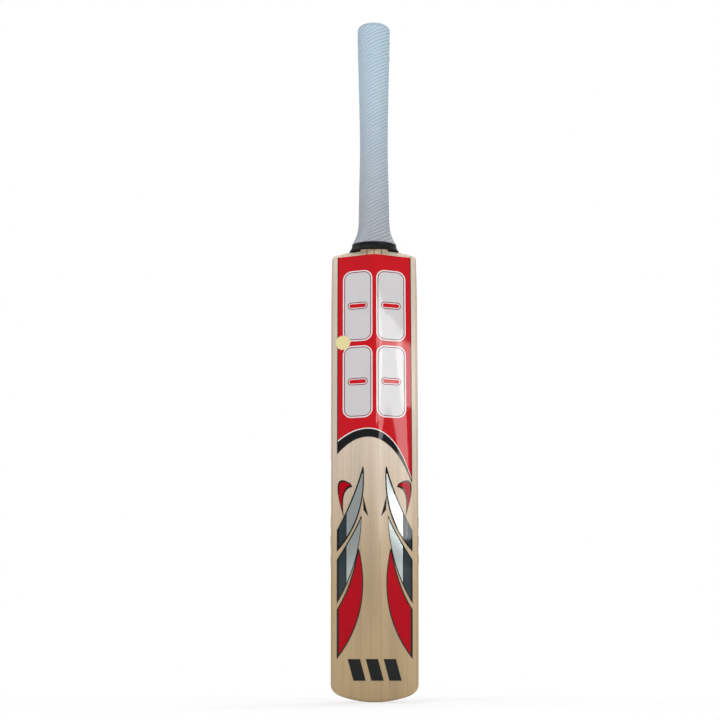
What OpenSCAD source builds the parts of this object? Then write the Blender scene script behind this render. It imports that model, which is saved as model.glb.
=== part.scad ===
// Cricket bat, senior size with a short handle.
// It stands toe down and handle up, with the hitting face towards -Y, the spine towards +Y,
// and the origin on the handle's axis in the middle of the grip.
// The willow blade has a V slot for the splice of a laminated cane handle.

/* [Blade] */
// Length of the blade, from its shoulders to the tip of the toe
blade_len = 560; // [460:1:680]
// Width of the blade
blade_w = 108; // [88:1:132]
// How much narrower the blade is at its shoulders
shoulder_taper = 2.5; // [0:0.5:8]
// Height over which the shoulders widen to the full width
shoulder_run = 70; // [30:1:120]
// How far the toe sits in front of the upper face
bow = 12; // [0:0.5:25]
// Height above the toe at which the bow begins
bow_start = 380; // [200:1:440]
// How much the face swells forward between its two edges
crown = 1.2; // [0:0.1:3]
// Radius of the long corners between the edges, the face and the back
corner_r = 4.5; // [2:0.5:8]
// Drop of the toe's curve between its corners and its middle
toe_sag = 12; // [4:0.5:22]
// Radius of the toe's two corners
toe_r = 11; // [5:0.5:16]
// Rounding of the toe where it meets the face and the back
toe_soft = 2.5; // [1:0.5:4]
// Radius of the shoulders' outer corners
shoulder_r = 4; // [2:0.5:8]

/* [Depth from the face to the spine] */
// At the toe
spine_toe = 22; // [16:0.5:30]
// Just above the toe
spine_low = 30; // [22:0.5:38]
// At the swell
spine_swell = 56.5; // [44:0.5:68]
// At the middle
spine_mid = 53; // [42:0.5:64]
// Beside the splice
spine_high = 41; // [34:0.5:50]
// At the shoulders
spine_top = 35.5; // [30:0.5:43]

/* [Thickness of the edges] */
// At the toe
edge_toe = 20.5; // [14:0.5:28]
// Just above the toe
edge_low = 27.5; // [18:0.5:34]
// At the swell
edge_swell = 37; // [28:0.5:44]
// At the middle
edge_mid = 35; // [26:0.5:42]
// Beside the splice
edge_high = 25; // [18:0.5:31]
// At the shoulders
edge_top = 14; // [11:0.5:18]

/* [Splice and neck] */
// Length of the V slot below the shoulders
splice_len = 160; // [120:1:200]
// Half the slot's width at the shoulders
slot_half = 17.2; // [16.5:0.1:22]
// Half the slot's width at its tip
slot_tip_half = 2.2; // [1.8:0.1:4]
// Half the width of the neck where it leaves the shoulders
neck_half_w = 30; // [26:0.5:38]
// Half the depth of the neck
neck_half_d = 19; // [17.5:0.1:21]
// Height of the neck above the shoulders
neck_h = 34; // [28:0.5:44]
// Height of the step of willow that carries the neck between the shoulders
root_h = 2.5; // [1:0.5:5]

/* [Cane handle] */
// Length of the handle above the shoulders, with its grip
handle_len = 311; // [240:1:360]
// How far the handle leans towards the face, in degrees
lean = 2.2; // [0:0.1:5]
// Depth of the handle's axis behind the face at the shoulders
handle_y = 15.5; // [13:0.5:19]
// Radius of the cane at its thinnest, half way up
cane_waist_r = 15.2; // [13:0.1:16]
// Radius of the cane near the shoulders
cane_base_r = 16.6; // [14:0.1:17]
// Radius of the cane's swollen end
cane_knob_r = 18.2; // [16:0.1:21]
// Thickness of the three rubber springs between the cane slabs
spring_t = 1.6; // [0.8:0.1:2.4]
// Thickness of each inner cane slab
slab_t = 7.6; // [5:0.1:9]
// Depth of the middle strip in each slab
strip_d = 10; // [7:0.1:13]
// Glue line round every cane strip
glue = 0.05; // [0.02:0.01:0.15]

/* [Binding, grip and collar] */
// Thickness of the twine binding
twine_t = 0.7; // [0.4:0.1:1.5]
// Thickness of the rubber grip's wall
grip_t = 2; // [1.2:0.1:3.5]
// How much wider than deep the grip's foot is, each side
foot_flare = 2.4; // [0:0.1:4]
// Thickness of rubber that turns over the cane's end
grip_end_t = 3; // [2:0.1:6]
// Radius of the hole in the grip's end
grip_hole_r = 9; // [5:0.5:12]
// Radius of the grip's rolled end
grip_roll_r = 7; // [3:0.5:9]
// Height of the collar
collar_h = 9.5; // [5:0.5:14]
// Gap between that step and the collar
collar_gap = 0.5; // [0:0.5:3]
// Half the collar's width at its lower edge
collar_foot = 32.5; // [31:0.5:42]
// Half the collar's width at its upper edge
collar_top = 28; // [26:0.5:36]
// Clearance between the collar, the grip and what they slide over
slip = 0.1; // [0.05:0.01:0.3]

/* [Labels and facing] */
// Thickness of a printed label
label_t = 0.3; // [0.1:0.05:0.6]
// Thickness of the silver foil panels on the labels
foil_t = 0.2; // [0.1:0.05:0.4]
// Thickness of the clear facing sheet
facing_t = 0.25; // [0.1:0.05:0.6]
// Gap between the shoulders and the labels
label_gap = 3; // [1:0.5:10]
// Width of the face label
face_label_w = 98; // [70:1:98]
// Width of the back label
back_label_w = 93; // [70:1:96]
// Width of a pair of foil panels
panel_w = 79; // [60:1:86]
// Gap between the two panels of a pair
panel_split = 5; // [2:0.5:12]
// Height of one foil panel on the face
panel_h = 84; // [50:1:92]
// Gap between the upper and the lower pair
panel_gap = 6; // [3:0.5:16]
// Distance from the shoulders to the upper pair
panel_drop = 23; // [14:0.5:40]
// Corner radius of the foil panels
panel_r = 11; // [4:0.5:20]
// Height of one foil panel on the back
back_panel_h = 92; // [60:1:100]
// Width of the clear facing sheet
facing_w = 98; // [70:1:98]
// Height of the facing's lower end above the toe
facing_low = 14; // [5:1:60]
// Gap between the facing and the face label
facing_under = 3; // [1:0.5:20]
// Length of the stripe on the face
stripe_w = 78; // [40:1:90]
// Height of the stripe at its middle
stripe_h = 9; // [3:0.5:16]
// Radius of the seal on the back
seal_r = 9.5; // [5:0.5:9.5]
// Height of the sweeps' lower ends above the toe
sweep_low = 52; // [30:1:80]
// Height of the sweeps' upper ends above the toe
sweep_high = 287; // [240:1:300]
// Width of the row of bars on the back
bars_w = 66; // [40:1:84]
// Height of the row of bars on the back
bars_h = 26; // [10:0.5:30]
// Height of the edge bars
edge_bars_h = 68; // [30:1:90]
// Width of the edge bars
edge_bars_w = 24; // [10:0.5:26]
// Width of an edge label at the shoulders
edge_label_head = 5; // [3:0.5:6]
// Width of an edge label at its lower end
edge_label_foot = 17; // [8:0.5:20]

/* [Hidden] */
// The cane strips' names: slabs from left to right, and strips from the face to the back
SLABS = 4;
STRIPS = 3;
cane_names = [for (i = [0:SLABS - 1]) [for (j = [0:STRIPS - 1])
    str("cane_", ["left_outer", "left_inner", "right_inner", "right_outer"][i], "_",
        ["face", "middle", "back"][j])]];
spring_names = ["spring_left", "spring_centre", "spring_right"];
SIDES = ["left", "right"];

// Colours
willow = "#dcccb4";
cane = "#c9a468";
rubber = "#4a4038";
grip_col = "#b4c2cc";
black = "#22282a";
red = "#b51226";
silver = "#cfd0d4";
slate = "#48566a";

// Heights on the blade where its depths are set, as shares of its length
SPINE = [[0, spine_toe], [0.08, spine_low], [0.3, spine_swell], [0.54, spine_mid],
    [0.81, spine_high], [1, spine_top]];
EDGE = [[0, edge_toe], [0.08, edge_low], [0.3, edge_swell], [0.54, edge_mid],
    [0.81, edge_high], [1, edge_top]];
// How sharp the spine's ridge is, and how hollow the flanks beside it are
ridge_r = 0.09;
flank_hollow = 1.2;
// Columns of points from the middle of the blade to its corners, as shares of that width
COLUMNS = [0, 0.05, 0.12, 0.22, 0.34, 0.47, 0.6, 0.74, 0.88, 1];
corner_steps = 3;
ring_gap = 19;
// The toe's curve fades out over this height
toe_blend = 90;
toe_curve_r = (toe_sag * toe_sag + blade_w * blade_w / 4) / (2 * toe_sag);
// The blade is made a little too long at the shoulders, then cut flat
overshoot = 6;
// Handle outline: share of the handle's length, and radius of the cane
CANE = [[0, cane_base_r], [0.2, cane_base_r], [0.46, cane_waist_r],
    [0.74, (cane_waist_r + cane_knob_r) / 2], [0.93, cane_knob_r], [1, cane_knob_r]];
cane_len = handle_len - grip_end_t;
cane_end_r = 3;
// Heights along the round part of the cane, closest together at its rounded end
cane_steps = concat([for (i = [0:10]) neck_h + (cane_len - cane_end_r - neck_h) * i / 10],
    [for (a = [30:30:90]) cane_len - cane_end_r * (1 - sin(a))]);
grip_n = 36;
// A ring of flat sides stands this much further out, so that it clears a round surface inside it
round_out = 1 / cos(180 / grip_n);
// Place of the origin
hold_s = handle_len / 2;
// The neck's flare fades out of the grip over this height, and the grip's own flare over flare_h
neck_fade = 14;
flare_h = 30;
// A film that runs out to a point still has this much height there
film_end = 0.3;
// Labels keep clear of the blade's long corners, whatever its width
fit_w = blade_w - 10;
face_w = min(face_label_w, fit_w);
back_w = min(back_label_w, fit_w);
sheet_w = min(facing_w, fit_w);
pair_w = min(panel_w, back_w - 14, face_w - 14);
// Places of the small labels, as heights above the toe and distances from the middle. The seal
// sits just above the gap between the upper and the lower foil panels.
stripe_z = 287;
seal_x = back_w / 2 - 7;
seal_rise = 2;
seal_z = blade_len - panel_drop - back_panel_h - panel_gap / 2 + seal_rise;
sweep_in = 8.5;
sweep_out = fit_w / 2 - 2;
bars_z = 26;
bar_w = 15;
bar_slant = 7;
edge_label_z = 297;
fishtail = 12;
edge_bars_z = 163;
edge_slant = 5;
collar_foot_s = root_h + collar_gap;
collar_top_s = collar_foot_s + collar_h;
grip_foot = collar_top_s + slip;
// The step is a little wider than the collar at its top, and slopes out to the shoulders
root_top_half = collar_foot + 1;
root_half = root_top_half + root_h;

// A smooth curve through [place, value] pairs
function span(pts, t, i = 0) = i >= len(pts) - 2 || t < pts[i + 1][0] ? i : span(pts, t, i + 1);
function slope(pts, i) =
    let (a = pts[max(i - 1, 0)], b = pts[min(i + 1, len(pts) - 1)]) (b[1] - a[1]) / (b[0] - a[0]);
function curve(pts, t) =
    let (i = span(pts, t), a = pts[i], b = pts[i + 1], h = b[0] - a[0], u = (t - a[0]) / h)
    a[1] * (2 * u * u * u - 3 * u * u + 1) + b[1] * (3 * u * u - 2 * u * u * u)
    + h * (slope(pts, i) * (u * u * u - 2 * u * u + u) + slope(pts, i + 1) * (u * u * u - u * u));
function clamp(v, lo, hi) = min(max(v, lo), hi);

// Blade surfaces. x is across, z is the height above the toe, y is 0 on the upper face.
function share(z) = clamp(z / blade_len, 0, 1);
function half_w(z) =
    (blade_w - shoulder_taper * pow(clamp(1 - (blade_len - z) / shoulder_run, 0, 1), 2)) / 2;
function bow_y(z) = -bow * pow(clamp(1 - z / bow_start, 0, 2), 2);
function front_y(x, z) = bow_y(z) + crown * pow(x / half_w(z), 2);
function fall(t) = sqrt(t * t + ridge_r * ridge_r) - ridge_r;
function ridge(t) = pow(1 - fall(t) / fall(1), flank_hollow);
function back_y(x, z) =
    let (e = curve(EDGE, share(z)), d = curve(SPINE, share(z)))
    bow_y(z) + e + (d - e) * ridge(min(1, abs(x) / (half_w(z) - corner_r)));
function toe_z(x) = toe_curve_r - sqrt(toe_curve_r * toe_curve_r - x * x);
// Height of a point on the ring that starts at height l in the middle
function ring_z(x, l) = l + toe_z(x) * pow(clamp(1 - l / toe_blend, 0, 1), 2);
// How far a rounded end of radius r draws in at distance d from that end
function draw_in(d, r) = d >= r ? 0 : r - sqrt(r * r - pow(r - max(d, 0), 2));
// The blade's outline at one height: the right half from the face to the back, then the left half
function right_half(l) =
    let (hw = half_w(l) - draw_in(l, toe_r) - draw_in(blade_len - l, shoulder_r),
         soft = draw_in(l, toe_soft), cx = hw - corner_r)
    concat(
        [for (c = COLUMNS) let (x = c * cx, z = ring_z(x, l)) [x, front_y(x, z) + soft, z]],
        [for (k = [1:corner_steps])
            let (a = 90 * k / corner_steps, x = cx + corner_r * sin(a), z = ring_z(x, l))
            [x, front_y(cx, z) + corner_r * (1 - cos(a)) + soft, z]],
        [for (k = [0:corner_steps - 1])
            let (a = 90 * k / corner_steps, x = cx + corner_r * cos(a), z = ring_z(x, l))
            [x, back_y(half_w(z), z) - corner_r * (1 - sin(a)) - soft, z]],
        [for (i = [len(COLUMNS) - 1:-1:0]) let (x = COLUMNS[i] * cx, z = ring_z(x, l))
            [x, back_y(x * (half_w(z) - corner_r) / cx, z) - soft, z]]);
function blade_ring(l) = let (h = right_half(l))
    concat(h, [for (i = [len(h) - 2:-1:1]) [-h[i][0], h[i][1], h[i][2]]]);
body_rings = ceil((blade_len - toe_r - shoulder_r) / ring_gap);
LEVELS = concat(
    [for (a = [0:18:89]) toe_r * (1 - cos(a))],
    [for (i = [0:body_rings]) toe_r + (blade_len - toe_r - shoulder_r) * i / body_rings],
    [for (a = [30:30:90]) blade_len - shoulder_r * (1 - sin(a))],
    [blade_len + overshoot]);

// Slot and handle
function slot_at(z) = slot_tip_half
    + (slot_half - slot_tip_half) * clamp((z - blade_len + splice_len) / splice_len, 0, 1);
function axis_y(z) = handle_y - tan(lean) * (z - blade_len);
function cane_r(s) = curve(CANE, clamp(s / handle_len, 0, 1)) - draw_in(cane_len - s, cane_end_r);
// Half width and half depth of the neck at height s above the shoulders
function neck_w(s) = let (u = clamp(s / neck_h, 0, 1))
    neck_half_w + (cane_base_r + 1.5 - neck_half_w) * (1 - pow(1 - u, 1.5));
function neck_d(s) = neck_half_d + (cane_r(neck_h) - neck_half_d) * pow(clamp(s / neck_h, 0, 1), 3);
function neck_depth(x, s) = neck_d(s) * sqrt(1 - pow(x / neck_w(s), 2));

// Solids from rings of points
function flat(lists) = [for (l = lists) each l];
// Side faces between rings of n points. With two_sided, the second half of each ring is cut
// along the other diagonal, so that both sides of a thin film bend at the same lines.
function walls(rings, n, start = 0, inward = false, two_sided = false) =
    [for (r = [0:rings - 2]) for (k = [0:n - 1])
        let (a = start + r * n + k, b = start + r * n + (k + 1) % n, c = a + n, d = b + n)
        each inward ? [[a, d, c], [a, b, d]]
            : two_sided && k >= n / 2 ? [[a, c, b], [b, c, d]] : [[a, c, d], [a, d, b]]];
// A solid whose rings are round, with a flat cap at each end
module round_loft(rings) {
    n = len(rings[0]);
    last = (len(rings) - 1) * n;
    polyhedron(flat(rings), concat(walls(len(rings), n),
        [[for (k = [0:n - 1]) k]], [[for (k = [n - 1:-1:0]) last + k]]), convexity = 8);
}
// A solid whose rings run along one side and back along the other, with as many points on each
module slab_loft(rings) {
    n = len(rings[0]);
    last = (len(rings) - 1) * n;
    foot = [for (k = [0:n / 2 - 2]) each [[k, k + 1, n - 2 - k], [k, n - 2 - k, n - 1 - k]]];
    polyhedron(flat(rings), concat(walls(len(rings), n, two_sided = true), foot,
        [for (t = foot) [last + t[0], last + t[2], last + t[1]]]), convexity = 8);
}
// A solid whose ends are strips between its front and its back, so that an end may curve
module strip_loft(rings) {
    n = len(rings[0]);
    last = (len(rings) - 1) * n;
    back = n / 2;
    ends = [for (k = [0:n / 4 - 1.5]) each [[k, k + 1, back - k - 1], [k, back - k - 1, back - k]]];
    mirrored = [for (t = ends) [(n - t[0]) % n, (n - t[2]) % n, (n - t[1]) % n]];
    foot = concat(ends, mirrored);
    polyhedron(flat(rings), concat(walls(len(rings), n), foot,
        [for (t = foot) [last + t[0], last + t[2], last + t[1]]]), convexity = 8);
}
// A tube with its own outer and inner rings
module sleeve(outer, inner) {
    n = len(outer[0]);
    a0 = len(outer) * n;
    a1 = (len(outer) - 1) * n;
    b1 = a0 + (len(inner) - 1) * n;
    polyhedron(concat(flat(outer), flat(inner)), concat(
        walls(len(outer), n), walls(len(inner), n, a0, true),
        [for (k = [0:n - 1]) let (m = (k + 1) % n) each [[k, m, a0 + k], [m, a0 + m, a0 + k]]],
        [for (k = [0:n - 1]) let (m = (k + 1) % n)
            each [[a1 + k, b1 + k, a1 + m], [a1 + m, b1 + k, b1 + m]]]), convexity = 8);
}
function oval(rx, ry, z) =
    [for (k = [0:grip_n - 1]) let (a = 360 * k / grip_n - 90) [rx * cos(a), ry * sin(a), z]];

// The three kinds of surface that a film lies on: u runs across it, z is the height and
// out the distance outwards. On an edge, u is the share of the label's width there.
FACE = function (u, z, out) [u, front_y(u, z) - out, z];
BACK = function (u, z, out) [u, back_y(u, z) + out, z];
function edge_mid_y(z) = bow_y(z) + crown + curve(EDGE, share(z)) / 2;
function edge_spot(side, wide) = function (u, z, out)
    [side * (half_w(z) + out), edge_mid_y(z) + (u - 0.5) * wide(z), z];
// A film: us are places across it, and ends[i] = [low, high] gives its two heights there.
// under is the thickness of what it lies on; flip turns it round on a surface that faces the other way.
module film(spot, us, ends, rows, thick, under = 0, flip = false) {
    order = flip ? [for (i = [len(us) - 1:-1:0]) i] : [for (i = [0:len(us) - 1]) i];
    slab_loft([for (i = order) let (lo = ends[i][0], step = (ends[i][1] - lo) / rows) concat(
        [for (j = [0:rows]) spot(us[i], lo + j * step, under)],
        [for (j = [rows:-1:0]) spot(us[i], lo + j * step, under + thick)])]);
}
// Places across a film of width 2 * half, closest together at its ends
function across(half, steps, mid = 0) = [for (i = [0:steps]) mid - half * cos(180 * i / steps)];
// Heights of a rectangle with rounded corners
function round_box(xs, mid, half, lo, hi, r) = [for (x = xs)
    let (d = min(draw_in(half - abs(x - mid), r), r - film_end)) [lo + d, hi - d]];

// Everything is built with the toe's tip at height 0 and the upper face at y = 0, then moved to the origin
module to_origin() { translate([0, -axis_y(blade_len + hold_s), -blade_len - hold_s]) children(); }
module on_handle() { translate([0, handle_y, blade_len]) rotate([lean, 0, 0]) children(); }

// What is cut off above the shoulders, on both sides of the step
module shoulder_cut() {
    far = blade_w;
    top = blade_len + 2 * overshoot;
    translate([0, far, 0]) rotate([90, 0, 0]) linear_extrude(2 * far)
        polygon([[-far, blade_len], [-root_half, blade_len], [-root_top_half, blade_len + root_h],
            [root_top_half, blade_len + root_h], [root_half, blade_len], [far, blade_len],
            [far, top], [-far, top]]);
}
module slot_wedge() {
    top = blade_len + neck_h + overshoot;
    translate([0, spine_swell, 0]) rotate([90, 0, 0]) linear_extrude(2 * spine_swell)
        polygon([[-slot_tip_half, blade_len - splice_len], [slot_tip_half, blade_len - splice_len],
            [slot_half, blade_len], [slot_half, top], [-slot_half, top], [-slot_half, blade_len]]);
}
// The neck, from a little inside the shoulders
module neck() {
    steps = 6;
    on_handle() round_loft(concat([oval(neck_w(0), neck_d(0), -2)],
        [for (i = [0:steps]) let (s = neck_h * i / steps) oval(neck_w(s), neck_d(s), s)]));
}
module blade() {
    color(willow) to_origin() difference() {
        union() {
            difference() {
                strip_loft([for (l = LEVELS) blade_ring(l)]);
                shoulder_cut();
            }
            neck();
        }
        slot_wedge();
    }
}

// A strip of the handle between x0 and x1, and between two planes along the handle at
// y0 and y1 from its axis. Below the shoulders it fills its share of the splice, and above
// them it runs to the neck's surface, then to the round cane's.
function on_axis(x, y, s) =
    [x, handle_y + y * cos(lean) - s * sin(lean), blade_len + y * sin(lean) + s * cos(lean)];
module handle_strip(x0, x1, y0, y1) {
    tip = x0 * x1 < 0 ? 0
        : (min(abs(x0), abs(x1)) + 1 - slot_tip_half) / (slot_half - slot_tip_half) * splice_len;
    z0 = blade_len - splice_len + max(tip, 0) + glue;
    // The strip's side nearest the axis, and the least thickness of its thin outer side
    near = max(y0, -y1, 0);
    thin = 0.3;
    cols = x1 - x0 < 2 * spring_t ? 1 : 4;
    // Outer strips have most of their points near their rounded side
    function ease(u) = x1 < -slab_t ? u * u : x0 > slab_t ? 1 - (1 - u) * (1 - u) : u;
    function places(w) = let (a = clamp(x0, -w, w), b = clamp(x1, -w, w))
        [for (k = [0:cols]) a + (b - a) * ease(k / cols)];
    function ring(low, high) = concat(low, [for (k = [cols:-1:0]) high[k]]);
    splice = [for (i = [0:8]) let (z = z0 + (blade_len + root_h - z0) * i / 8,
        xs = places(slot_at(z) - glue), y = axis_y(z))
        ring([for (x = xs) [x, max(y + y0, front_y(x, z)), z]],
            [for (x = xs) [x, min(y + y1, back_y(x, z)), z]])];
    neck_part = [for (i = [0:3]) let (s = root_h + 1 + (neck_h - root_h - 2) * i / 4,
        xs = places(min(slot_half - glue, 0.97 * neck_w(s))))
        ring([for (x = xs) on_axis(x, max(y0, -neck_depth(x, s)), s)],
            [for (x = xs) on_axis(x, min(y1, neck_depth(x, s)), s)])];
    cane_part = [for (s = cane_steps) let (r = cane_r(s),
        xs = places(min(slot_half - glue, sqrt(r * r - pow(near + thin, 2)))))
        ring([for (x = xs) on_axis(x, max(y0, -sqrt(r * r - x * x)), s)],
            [for (x = xs) on_axis(x, min(y1, sqrt(r * r - x * x)), s)])];
    slab_loft(concat(splice, neck_part, cane_part));
}
// Edges of slab i, from left to right
function slab_x(i) =
    let (inner = spring_t / 2 + glue, outer = 1.5 * spring_t + slab_t + glue, far = 2 * cane_knob_r)
    [[-far, -outer], [-outer + spring_t + 2 * glue, -inner],
     [inner, outer - spring_t - 2 * glue], [outer, far]][i];
module cane_strip(i, j) {
    far = 2 * cane_knob_r;
    ys = [[-far, -strip_d / 2 - glue], [-strip_d / 2, strip_d / 2], [strip_d / 2 + glue, far]][j];
    color(cane) to_origin() handle_strip(slab_x(i)[0], slab_x(i)[1], ys[0], ys[1]);
}
module rubber_spring(i) {
    mid = (i - 1) * (spring_t + slab_t);
    color(rubber) to_origin()
        handle_strip(mid - spring_t / 2, mid + spring_t / 2, -2 * cane_knob_r, 2 * cane_knob_r);
}

// The handle's outer sizes at height s: bound cane, then the inside and outside of the grip
function bound_r(s) = cane_r(s) + twine_t;
function neck_share(s) = clamp((neck_h + neck_fade - s) / neck_fade, 0, 1);
function bore_w(s) = (bound_r(s) + max(neck_w(s) - bound_r(s), 0) * neck_share(s) + slip) * round_out;
function bore_d(s) = (bound_r(s) + max(neck_d(s) - bound_r(s), 0) * neck_share(s) + slip) * round_out;
function flare(s) = foot_flare * pow(clamp(1 - (s - grip_foot) / flare_h, 0, 1), 2);
module twine_binding() {
    z0 = neck_h + 0.5;
    z1 = cane_len - cane_end_r - 1;
    steps = 20;
    color(cane) to_origin() on_handle() rotate_extrude($fn = 72) polygon(concat(
        [for (i = [0:steps]) let (s = z0 + (z1 - z0) * i / steps) [cane_r(s) + twine_t, s]],
        [for (i = [steps:-1:0]) let (s = z0 + (z1 - z0) * i / steps) [cane_r(s) + glue, s]]));
}
module rubber_grip() {
    bore_end = cane_len + slip;
    steps = 22;
    roll = [for (a = [0:15:75]) a];
    side = [for (i = [0:steps]) grip_foot + (handle_len - grip_roll_r - grip_foot) * i / steps];
    inside = [for (i = [0:steps]) grip_foot + (cane_len - cane_end_r - grip_foot) * i / steps];
    end_r = bore_w(cane_len - cane_end_r) + grip_t;
    color(grip_col) to_origin() on_handle() sleeve(
        concat([for (s = side) oval(bore_w(s) + grip_t + flare(s), bore_d(s) + grip_t, s)],
            [for (a = roll) if (a > 0) let (r = end_r - grip_roll_r * (1 - cos(a)))
                oval(r, r, handle_len - grip_roll_r * (1 - sin(a)))],
            [oval(grip_hole_r + 2, grip_hole_r + 2, handle_len)]),
        concat([for (s = inside) oval(bore_w(s), bore_d(s), s)],
            [for (r = [bore_w(cane_len - cane_end_r), grip_hole_r]) oval(r, r, bore_end)],
            [oval(grip_hole_r, grip_hole_r, handle_len)]));
}
module shoulder_collar() {
    steps = 4;
    levels = [for (i = [0:steps]) collar_foot_s + collar_h * i / steps];
    color(black) to_origin() on_handle() sleeve(
        [for (s = levels) let (u = (s - collar_foot_s) / collar_h)
            oval(collar_foot + (collar_top - collar_foot) * u,
                neck_d(s) + collar_top - neck_w(collar_top_s), s)],
        [for (s = levels) oval((neck_w(s) + slip) * round_out, (neck_d(s) + slip) * round_out, s)]);
}

// Labels, foil panels and the facing
label_top = blade_len - label_gap;
// The lower edge of a label: an arch that is highest at x = arch[0] and height arch[1],
// and falls away to -X as arch[2] says, and to +X as arch[3] says, by squares and fourth powers
function arch_z(arch, x) = let (dx = x - arch[0], k = arch[dx < 0 ? 2 : 3])
    arch[1] - k[0] * pow(dx, 2) - k[1] * pow(dx, 4);
FACE_ARCH = [-13, 346, [0.0157, 0], [0.0107, 0]];
BACK_ARCH = [10, 322.5, [0.0121, 1.8e-6], [0.0153, 0]];
// A label bends at the blade's own columns, so that it lies close on the ridge
function on_columns(half) =
    let (flank = blade_w / 2 - corner_r, xs = [for (c = COLUMNS) if (c * flank < half - 1) c * flank])
    concat([-half], [for (i = [len(xs) - 1:-1:1]) -xs[i]], xs, [half]);
module label(spot, w, arch, row_h, flip) {
    xs = on_columns(w / 2);
    rows = round((label_top - arch[1]) / row_h);
    color(red) to_origin()
        film(spot, xs, [for (x = xs) [arch_z(arch, x), label_top]], rows, label_t, 0, flip);
}
// Two rows of two foil panels, beside the spine's line
module panels(spot, h, flip) {
    half = (pair_w - panel_split) / 4;
    color(silver) to_origin() for (i = [0, 1]) for (side = [-1, 1]) {
        mid = side * (half + panel_split / 2);
        xs = across(half, 9, mid);
        z1 = blade_len - panel_drop - i * (h + panel_gap);
        film(spot, xs, round_box(xs, mid, half, z1 - h, z1, panel_r), 8, foil_t, label_t, flip);
    }
}
module clear_facing() {
    xs = across(sheet_w / 2, 10);
    color("white", 0.4) to_origin() film(FACE, xs,
        [for (x = xs) [facing_low + toe_z(x), arch_z(FACE_ARCH, sheet_w / 2) - facing_under]],
        16, facing_t);
}
// A plain stripe, thickest at its middle
module face_stripe() {
    w = min(stripe_w, fit_w);
    xs = across(w / 2, 12);
    color(red) to_origin() film(FACE, xs, [for (x = xs)
        let (h = stripe_h * (1 - pow(2 * x / w, 2)) / 2 + film_end / 2)
        [stripe_z - h, stripe_z + h]], 2, label_t, facing_t);
}
module seal() {
    xs = across(seal_r, 12, seal_x);
    color("khaki") to_origin() film(BACK, xs, [for (x = xs)
        let (h = sqrt(max(seal_r * seal_r - pow(x - seal_x, 2), film_end * film_end)))
        [seal_z - h, seal_z + h]], 3, foil_t, label_t + foil_t, true);
}
// One of a mirrored pair of sweeps on the back
module back_sweep(side) {
    xs = across((sweep_out - sweep_in) / 2, 14, (sweep_out + sweep_in) / 2);
    ends = [for (x = xs) let (u = (sweep_out - x) / (sweep_out - sweep_in))
        [sweep_low + 72 * u + 76 * pow(u, 10), sweep_high - 80 * pow(1 - u, 1.5)]];
    order = [for (i = [0:14]) side < 0 ? 14 - i : i];
    color(slate) to_origin()
        film(BACK, [for (i = order) side * xs[i]], [for (i = order) ends[i]], 14, label_t, 0, true);
}
// Slanted bars in a row
function bar_us(u0, w, slant) = [u0, u0 + slant, u0 + w, u0 + w + slant];
function bar_ends(lo, hi) = [[lo, lo + film_end], [lo, hi], [lo, hi], [hi - film_end, hi]];
module back_toe_bars() {
    w = min(bars_w, fit_w - 8);
    pitch = (w - bar_w - bar_slant) / 2;
    color(black) to_origin() for (i = [0:2])
        film(BACK, bar_us(i * pitch - w / 2, bar_w, bar_slant), bar_ends(bars_z, bars_z + bars_h), 3,
            label_t, 0, true);
}
module edge_label(side) {
    us = [0, 0.25, 0.5, 0.75, 1];
    wide = function (z) edge_label_foot + (edge_label_head - edge_label_foot)
        * (z - edge_label_z) / (label_top - edge_label_z);
    color(red) to_origin() film(edge_spot(side, wide), us,
        [for (u = us) [edge_label_z + fishtail * (1 - abs(2 * u - 1)), label_top]],
        round((label_top - edge_label_z) / ring_gap), label_t, 0, side > 0);
}
module edge_bars(side) {
    wide = function (z) edge_bars_w;
    pitch = edge_bars_h / 3;
    tall = 0.7 * pitch;
    color(black) to_origin() for (i = [0:2]) let (z = edge_bars_z + i * pitch)
        film(edge_spot(side, wide), [0, 1], [[z, z + tall - edge_slant], [z + edge_slant, z + tall]],
            3, label_t, 0, side > 0);
}

blade();
for (i = [0:SLABS - 1]) for (j = [0:STRIPS - 1])
    cane_strip(i, j);
for (i = [0:2])
    rubber_spring(i);
twine_binding();
rubber_grip();
shoulder_collar();
clear_facing();
label(FACE, face_w, FACE_ARCH, 2 * ring_gap, false);  // face_label
panels(FACE, panel_h, false);  // face_panels
face_stripe();
label(BACK, back_w, BACK_ARCH, ring_gap, true);  // back_label
panels(BACK, back_panel_h, true);  // back_panels
seal();
back_toe_bars();
for (i = [0:1]) back_sweep(2 * i - 1);
for (i = [0:1]) edge_label(2 * i - 1);
for (i = [0:1]) edge_bars(2 * i - 1);
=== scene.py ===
"""Looks of the cricket bat: willow, rubber grip, collar, vinyl labels and decals, clear facing."""
from math import cos, exp, floor, hypot, pi, radians, sin, sqrt, tan

import bmesh
import bpy
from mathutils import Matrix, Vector


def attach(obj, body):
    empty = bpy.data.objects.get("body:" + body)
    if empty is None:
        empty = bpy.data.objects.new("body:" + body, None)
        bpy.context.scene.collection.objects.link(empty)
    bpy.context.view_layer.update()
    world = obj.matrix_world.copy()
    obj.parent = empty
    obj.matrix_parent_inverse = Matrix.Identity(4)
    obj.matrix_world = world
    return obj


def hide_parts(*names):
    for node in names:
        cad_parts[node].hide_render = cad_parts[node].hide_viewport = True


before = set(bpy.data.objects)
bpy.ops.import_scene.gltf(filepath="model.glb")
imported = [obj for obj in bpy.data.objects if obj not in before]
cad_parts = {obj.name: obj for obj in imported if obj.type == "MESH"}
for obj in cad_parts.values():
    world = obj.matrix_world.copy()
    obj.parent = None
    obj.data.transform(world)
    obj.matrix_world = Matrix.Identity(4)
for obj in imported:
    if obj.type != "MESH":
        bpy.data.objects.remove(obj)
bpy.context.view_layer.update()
MM = 0.001
WORLD_LIGHT = 0.42

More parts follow.
